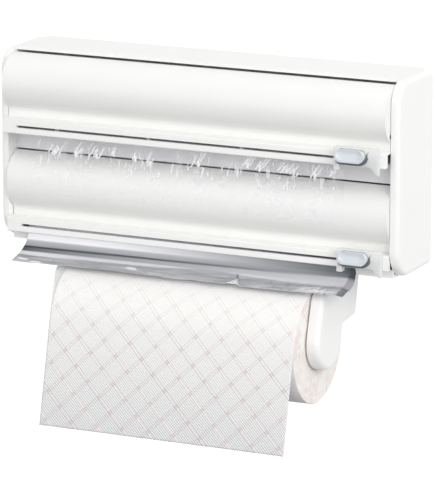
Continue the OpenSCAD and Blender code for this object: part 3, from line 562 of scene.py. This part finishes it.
# a wound roll: its section is spun round its axis, with end faces of many uneven turns. The first and the
# last turn are set back, and the skin stands a little proud of the last turn
def woundRoll(name, size, skin, ends, body, stands, setBack=0.6, proud=0.1):
    draw = random.Random(size["seed"])
    depth, height = size["centre"]
    turns = size["turns"]
    spans = size["spans"]
    wall = size["radius"] - size["bore"]
    radii = [size["bore"] + wall * i / turns for i in range(turns + 1)]
    section = []
    for side, end in ((1, size["right"]), (-1, size["left"])):
        rows = []
        for i, radius in enumerate(radii):
            inset = size["edge"] * abs(draw.gauss(0, 1)) + (setBack if i in (0, turns) else 0)
            rows.append((end - side * inset, radius))
        section += rows if side == 1 else rows[::-1]
        if side == 1:
            outer = size["radius"] + proud
            section += [(end + (size["left"] - end) * i / spans, outer) for i in range(1, spans)]
    bm = bmesh.new()
    corners = [bm.verts.new((x * mm, -depth * mm, (height + radius) * mm)) for x, radius in section]
    outline = [bm.edges.new(pair) for pair in zip(corners, corners[1:] + corners[:1])]
    bmesh.ops.spin(bm, geom=corners + outline, cent=(0, -depth * mm, height * mm), axis=(1, 0, 0),
                   angle=math.tau, steps=size["sides"], use_merge=True)
    bmesh.ops.remove_doubles(bm, verts=bm.verts, dist=1e-6)
    bmesh.ops.recalc_face_normals(bm, faces=bm.faces)
    flat = bm.loops.layers.uv.new("flat")
    bm.normal_update()
    for face in bm.faces:
        face.material_index = 1 if abs(face.normal.x) > 0.5 else 0
        first = None
        for loop in face.loops:
            away = Vector((-loop.vert.co.y / mm - depth, loop.vert.co.z / mm - height))
            turn = math.atan2(away.y, away.x)
            first = turn if first is None else first
            turn -= math.tau * round((turn - first) / math.tau)
            loop[flat].uv = (loop.vert.co.x, -turn * size["radius"] * mm)
    roll = addPiece(bm, name, skin, body, stands)
    roll.data.materials.append(ends)
    return roll


filmWound = {"centre": (32, 41.5), "radius": 21.9, "bore": 15.7, "left": -153, "right": 137, "turns": 12,
             "spans": 24, "sides": 72, "edge": 0.12, "seed": 4}
woundRoll("filmRoll", filmWound, woundFilm, woundFilm, "film_roll", ["film_roll"])
foilWound = {"centre": (29, -54), "radius": 18.9, "bore": 15.7, "left": -158, "right": 142, "turns": 8,
             "spans": 24, "sides": 72, "edge": 0.1, "seed": 5}
woundRoll("foilRoll", foilWound, woundFoil, woundFoil, "foil_roll", ["foil_roll"])
paperWound = {"centre": (75, -145), "radius": 49.7, "bore": 20.3, "left": -113.5, "right": 113.5, "turns": 46,
              "spans": 20, "sides": 96, "edge": 0.16, "seed": 6}
woundRoll("paperRoll", paperWound, printedTissue, tissueEnds, "paper_roll", ["paper_roll"])
print("rolls wound")

# kitchen paper: off the top of the roll, over its front and down to a torn edge
paperHung = {"centre": paperWound["centre"], "radius": 50.35, "from": 92, "lean": 13, "hang": 92.5,
             "hangSteps": 8, "left": paperWound["left"], "right": paperWound["right"], "cell": 1.7,
             "thickness": 0.3, "wave": 0.7, "waveGrows": 1.5,
             "swells": [(1, 55, 90, 3.7), (0.4, 21, 60, 8.1)], "torn": 0.35, "tornFrom": 0.985,
             "fray": [(1, 1.9, 1, 5.0)], "frayRow": 2.2, "frayBack": 0.5}
line = arcLine(paperHung["centre"], paperHung["radius"], paperHung["from"], paperHung["lean"])
lean = math.radians(paperHung["lean"])
fall = Vector((math.sin(lean), -math.cos(lean))) * paperHung["hang"]
line += [line[-1] + fall * i / paperHung["hangSteps"] for i in range(1, paperHung["hangSteps"] + 1)]
draped = paperHung["radius"] * math.radians(paperHung["from"] - paperHung["lean"])
paperLength = draped + paperHung["hang"]


def paperShape(x, s):
    free = clamped((s - draped) / paperHung["hang"])
    wave = paperHung["wave"] * free ** paperHung["waveGrows"] * swells(x, s, paperHung["swells"])
    if free > paperHung["tornFrom"]:
        fray = swells(x, paperHung["frayRow"], paperHung["fray"]) - paperHung["frayBack"]
        s += paperHung["torn"] * fray
    return x, s, wave, s / paperLength


bm, length = laySheet(line, paperHung["left"], paperHung["right"], paperHung["cell"], paperShape)
paperSheet = addPiece(bm, "paperSheet", printedTissue, "housing", ["paper_sheet"])
thicken(paperSheet, paperHung["thickness"])
print("kitchen paper hung")

# foil: off its roll, down behind the lower rail, then bent forward into a torn flap. Places on it are
# (across, down from the exit). Each band of painted reflection and shade has how far down it ends and how
# light it is, at the left and at the right tip, and how late it turns on the way. A spot is its place, half
# width, half length and lean
foilPulled = {"centre": foilWound["centre"], "radius": 19.2, "wrap": 38, "hook": (63.53, -64.63),
              "exit": (69.97, -69.13), "left": -161, "right": 146,
              "corners": [(70.6, -75.5), (71.6, -81), (73.6, -86), (81, -90), (86, -91.8), (99.5, -95)],
              "ease": 2.2, "cell": 1.0, "thickness": 0.16, "blur": 0.45,
              "bands": [{"name": "sheen", "ends": (13, 13), "light": (0.98, 0.28), "late": 2},
                        {"name": "shade", "ends": (18.8, 16), "light": (0.7, 0.4), "late": 4},
                        {"name": "crease", "ends": (21, 17.5), "light": (0.28, 0.9), "late": 2},
                        {"name": "belly", "ends": (25.5, 24), "light": (0.3, 0.95), "late": 0.4},
                        {"name": "shelf", "ends": (31, 28.5), "light": (0.98, 0.95), "late": 1},
                        {"name": "flap", "ends": (50, 50), "light": (0.72, 0.8), "late": 0.5}],
              "shelfDip": {"deep": 5, "at": 15, "wide": 45},
              "flap": {"from": 26, "over": 6, "crumple": [(0.9, 45, 22, 1.3), (0.35, 13, 9, 4.2)],
                       "mottle": [(0.12, 30, 3.5, 2.6)]},
              "split": {"at": 45, "lean": 0.45, "level": 31, "drop": 1.1, "reach": 45,
                        "slit": ((-0.4, 29.5), 0.9, 5), "slitShadow": 0.35},
              "turned": {"from": 33, "slope": 1.1, "rise": 0.9, "light": 0.98, "share": 0.85},
              "creases": {"from": 60, "over": 70, "wide": (26, 14), "long": 5, "skew": 40, "part": 7.7,
                          "rise": (0.4, 1.2), "dark": (0.1, 0.3), "sharp": 0.07, "light": 0.12, "level": 0.2},
              "curls": [((-153, 39), 6, 2.2, 0.6), ((-140, 43), 7, 1.2, 0.5), ((-52, 36.5), 6, 2.8, 1.0)],
              "curlRise": 0.8,
              "longFold": {"spot": ((121, 38), 22, 5.5, 0.6), "rise": 1.0, "light": 0.1,
                           "shadow": ((119, 33.5), 20, 1.3, 0.6), "dark": 0.12},
              "bentBack": {"at": 139.3, "drop": 0.7, "flatter": 0.9, "dark": 0.2, "narrow": (0.7, 1.0)},
              "slant": {"by": 1.8, "from": 7, "over": 11, "starts": -130, "grows": 30},
              "tear": {"from": 38, "row": 9.0, "swells": [(0.6, 16, 1, 1.0), (0.3, 3.3, 3, 1.0)],
                       "back": 0.3}}
line = leavingLine(foilPulled)
foilExit = hiddenLength(foilPulled, line)
line = line[:-1] + roundedLine([line[-1], foilPulled["hook"], foilPulled["exit"]] + foilPulled["corners"],
                               foilPulled["ease"])
foilWidth = foilPulled["right"] - foilPulled["left"]
foilLight, foilDark = (linear(foilFinish[key])[0] for key in ("light", "dark"))


# how light the painted reflection and shade make the foil at a place, from 0 to 1
def foilPaintedLight(x, t):
    share = (x - foilPulled["left"]) / foilWidth
    dip = foilPulled["shelfDip"]
    end = paintedTone = None
    for band in foilPulled["bands"]:
        after = between(band["light"], share ** band["late"])
        if paintedTone is None:
            paintedTone = after
        else:
            paintedTone += (after - paintedTone) * clamped((t - end) / (2 * foilPulled["blur"]) + 0.5)
        end = between(band["ends"], share)
        if band["name"] == "shelf":
            end -= dip["deep"] * math.exp(-((x - dip["at"]) / dip["wide"]) ** 2)
    return paintedTone


# a soft-edged spot round a place on a sheet, 1 in its middle
def spot(x, t, place, wide, long, lean=0.0, crisp=3):
    away = math.hypot((x - place[0] - lean * (t - place[1])) / wide, (t - place[1]) / long)
    return clamped((1 - away) * crisp)


def foilShape(x, s):
    t = s - foilExit
    paintedTone = foilPaintedLight(x, t)
    flap = foilPulled["flap"]
    onFlap = clamped((t - flap["from"]) / flap["over"])
    rise = onFlap * swells(x, t, flap["crumple"])
    paintedTone += onFlap * swells(x, t, flap["mottle"])
    # the flap is split near the middle: the right side lies lower, the left corner turns up with a painted
    # highlight, and the slit gets a painted shadow
    split = foilPulled["split"]
    past = x - split["at"] - split["lean"] * (t - split["level"])
    if onFlap and past > 0:
        rise -= split["drop"] * onFlap * max(0, 1 - past / split["reach"])
    corner = foilPulled["turned"]
    if past < 0 and t > corner["from"]:
        turned = clamped(past + corner["slope"] * (t - corner["from"]))
        rise += corner["rise"] * turned
        paintedTone += (corner["light"] - paintedTone) * corner["share"] * turned
    paintedTone -= split["slitShadow"] * spot(past, t, *split["slit"])
    # creases: ridges with painted shade along sharp dark lines and painted light on their backs, closer
    # together towards the right end
    crease = foilPulled["creases"]
    near = clamped((x - crease["from"]) / crease["over"])
    ridge = abs(noise.noise((x / between(crease["wide"], near), t / crease["long"] + x / crease["skew"],
                             crease["part"])))
    rise += onFlap * between(crease["rise"], near) * ridge
    paintedTone -= onFlap * between(crease["dark"], near) * max(0, 1 - ridge / crease["sharp"])
    paintedTone += onFlap * crease["light"] * near * (ridge - crease["level"])
    # small curls at the left tip and on the flap, each with a painted glint
    for curl in foilPulled["curls"]:
        glint = spot(x, t, *curl)
        rise += foilPulled["curlRise"] * glint
        paintedTone += (1 - paintedTone) * glint
    # a long shallow fold near the right end, with a painted highlight on it and a painted shadow beside it
    fold = foilPulled["longFold"]
    lifted = spot(x, t, *fold["spot"])
    rise += fold["rise"] * lifted
    paintedTone += fold["light"] * lifted - fold["dark"] * spot(x, t, *fold["shadow"])
    # the last strip is bent back, and darkened with painted shade
    back = foilPulled["bentBack"]
    beyond = x - back["at"]
    if beyond > 0 and t > 0:
        rise -= back["drop"] * beyond * (1 - back["flatter"] * onFlap)
        paintedTone -= back["dark"]
        x = back["at"] + between(back["narrow"], onFlap) * beyond
    # the left edge slants a little to the left on its way down
    slant = foilPulled["slant"]
    lower = clamped((t - slant["from"]) / slant["over"])
    x -= slant["by"] * lower * clamped((slant["starts"] - x) / slant["grows"])
    # the lower edge is torn
    tear = foilPulled["tear"]
    if t > tear["from"]:
        s += swells(x, tear["row"], tear["swells"]) - tear["back"]
    wanted = linear("#" + "%02X" % round(255 * clamped(paintedTone)) * 3)[0]
    return x, s, rise, clamped((foilLight - wanted) / (foilLight - foilDark))


bm, length = laySheet(line, foilPulled["left"], foilPulled["right"], foilPulled["cell"], foilShape, foilExit)
foilSheet = addPiece(bm, "foilSheet", kitchenFoil, "housing", ["foil_sheet"])
thicken(foilSheet, foilPulled["thickness"])
print("foil pulled and crumpled")

# cling film: off its roll, out under the upper rail and over the lower lid, where it clings. "tufts" are the
# places (across, along from the exit) where it is bunched up, with the number of small folds side by side.
# Each tuft is a knot with side folds, and strands and flecks lie anywhere. In these four a pair is the least
# and the most of a random draw, and a stray or spread is how far a draw wanders
filmPulled = {"centre": filmWound["centre"], "radius": 22.2, "wrap": 38, "hook": (70.75, 23.02),
              "exit": (77.45, 18.52), "turn": (77.45, 2), "ease": 3, "bulge": (55.53, -29.93),
              "lowerBulge": (55.53, -32.83), "bulgeRadius": 24.95, "touch": 29, "end": -24,
              "left": filmWound["left"], "right": filmWound["right"], "cell": 0.7, "thickness": 0.06,
              "seed": 11,
              "tufts": [(-131, 19, 5), (-111, 18, 3), (-91, 19, 5), (-76, 15, 2), (-55, 17, 2), (-41, 20, 3),
                        (4, 16, 4), (50, 13, 4), (61, 15, 4), (85, 15, 7), (111, 17, 3), (126, 13, 2)],
              "knot": {"stray": 0.4, "run": (1.5, 3.5), "width": (1.0, 1.5), "height": 0.6, "white": 1.0},
              "side": {"lean": (0.3, 0.9), "apart": 2.3, "stray": 0.5, "later": 1.5, "laterStray": 1.2,
                       "leanStray": 0.12, "run": (4, 9), "width": (0.55, 0.75), "height": 0.5,
                       "white": (0.85, 1)},
              "strand": {"count": 24, "along": (13, 24), "lean": (-0.3, 0.9), "run": (1, 8),
                         "width": (0.5, 0.7), "height": 0.3, "white": (0.4, 0.9)},
              "fleck": {"count": 90, "from": 22, "spread": 11, "lean": (-0.25, 0.35), "runs": (1.5, 3, 5, 8),
                        "width": (0.6, 1.0), "height": 0.02, "white": (0.3, 0.8)},
              "foldReach": (10, 13), "foldCrisp": 2.4, "freeFrom": 8, "freeOver": 12, "lift": 0.15,
              "liftSwells": [(1, 9, 22, 6.1)], "cloud": 0.4, "cloudSwells": [(1, 9, 14, 2.7)],
              "cloudLevel": 0.05, "hem": 24, "hemBack": 5, "hemWaves": (1.7, [(4, 30, 1, 4.0)]),
              "hemFray": (6.2, [(2, 9, 1, 4.0)])}
line = leavingLine(filmPulled)
filmExit = hiddenLength(filmPulled, line)
onLid = arcLine(filmPulled["bulge"], filmPulled["bulgeRadius"], filmPulled["touch"], 0, steps=18)
onLid += arcLine(filmPulled["lowerBulge"], filmPulled["bulgeRadius"], 0, filmPulled["end"], steps=14)
corners = [line[-1]] + [filmPulled[key] for key in ("hook", "exit", "turn")] + [onLid[0]]
line = line[:-1] + roundedLine(corners, filmPulled["ease"])[:-1] + onLid
filmLength = runLengths(line)[-1]

# each fold: its start (across, along from the exit), its run, the half width and height of its ridge, and how
# white its painted highlight is
draw = random.Random(filmPulled["seed"])
folds = []
knot, side, strand, fleck = (filmPulled[key] for key in ("knot", "side", "strand", "fleck"))


def addFold(kind, start, run):
    width = draw.uniform(*kind["width"])
    folds.append((start, run, width, kind["height"], draw.uniform(*kind["white"])))


for x, t, count in filmPulled["tufts"]:
    lean = draw.uniform(*side["lean"])
    run = Vector((draw.gauss(0, knot["stray"]), draw.uniform(*knot["run"])))
    folds.append((Vector((x, t)), run, draw.uniform(*knot["width"]), knot["height"], knot["white"]))
    for i in range(count):
        start = Vector((x + side["apart"] * (i - count / 2) + draw.gauss(0, side["stray"]),
                        t + draw.gauss(side["later"], side["laterStray"])))
        run = Vector((lean + draw.gauss(0, side["leanStray"]), -1)) * draw.uniform(*side["run"])
        addFold(side, start, run)
for _ in range(strand["count"]):
    start = Vector((draw.uniform(filmPulled["left"], filmPulled["right"]), draw.uniform(*strand["along"])))
    run = Vector((draw.uniform(*strand["lean"]), -1)) * draw.uniform(*strand["run"])
    addFold(strand, start, run)
for _ in range(fleck["count"]):
    start = Vector((draw.uniform(filmPulled["left"], filmPulled["right"]),
                    fleck["from"] + abs(draw.gauss(0, fleck["spread"]))))
    run = Vector((draw.uniform(*fleck["lean"]), -1)) * draw.choice(fleck["runs"])
    addFold(fleck, start, run)


# height of the film's folds at a place, and the whiteness of their painted highlight
def filmFold(x, t):
    rise = shine = 0.0
    across, along = filmPulled["foldReach"]
    for start, run, width, height, white in folds:
        if abs(x - start.x) < across and abs(t - start.y) < along:
            away = Vector((x, t)) - start
            share = clamped(away.dot(run) / run.length_squared)
            ridge = 1 - (away - run * share).length / width
            if ridge > 0:
                rise = max(rise, height * ridge)
                shine = max(shine, white * min(1, filmPulled["foldCrisp"] * ridge))
    return rise, shine


def filmShape(x, s):
    t = s - filmExit
    rise, shine = filmFold(x, t) if t > 0 else (0.0, 0.0)
    free = clamped((t - filmPulled["freeFrom"]) / filmPulled["freeOver"])
    rise += filmPulled["lift"] * free * (1 + swells(x, s, filmPulled["liftSwells"]))
    # faint clouds where the film lies double
    cloudy = swells(x, s, filmPulled["cloudSwells"]) - filmPulled["cloudLevel"]
    cloud = filmPulled["cloud"] * free * max(0, cloudy)
    # an uneven hem
    hem = max(0, 1 - (filmLength - s) / filmPulled["hem"])
    uneven = swells(x, *filmPulled["hemWaves"]) + swells(x, *filmPulled["hemFray"])
    s -= hem * (filmPulled["hemBack"] + uneven)
    return x, s, rise, max(shine, cloud)


bm, length = laySheet(line, filmPulled["left"], filmPulled["right"], filmPulled["cell"], filmShape, filmExit)
bmesh.ops.solidify(bm, geom=bm.faces[:], thickness=filmPulled["thickness"] * mm)
filmSheet = addPiece(bm, "filmSheet", clingFilm, None, ["film_web", "film_tail"])
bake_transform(filmSheet)
print("cling film pulled over the lower lid")
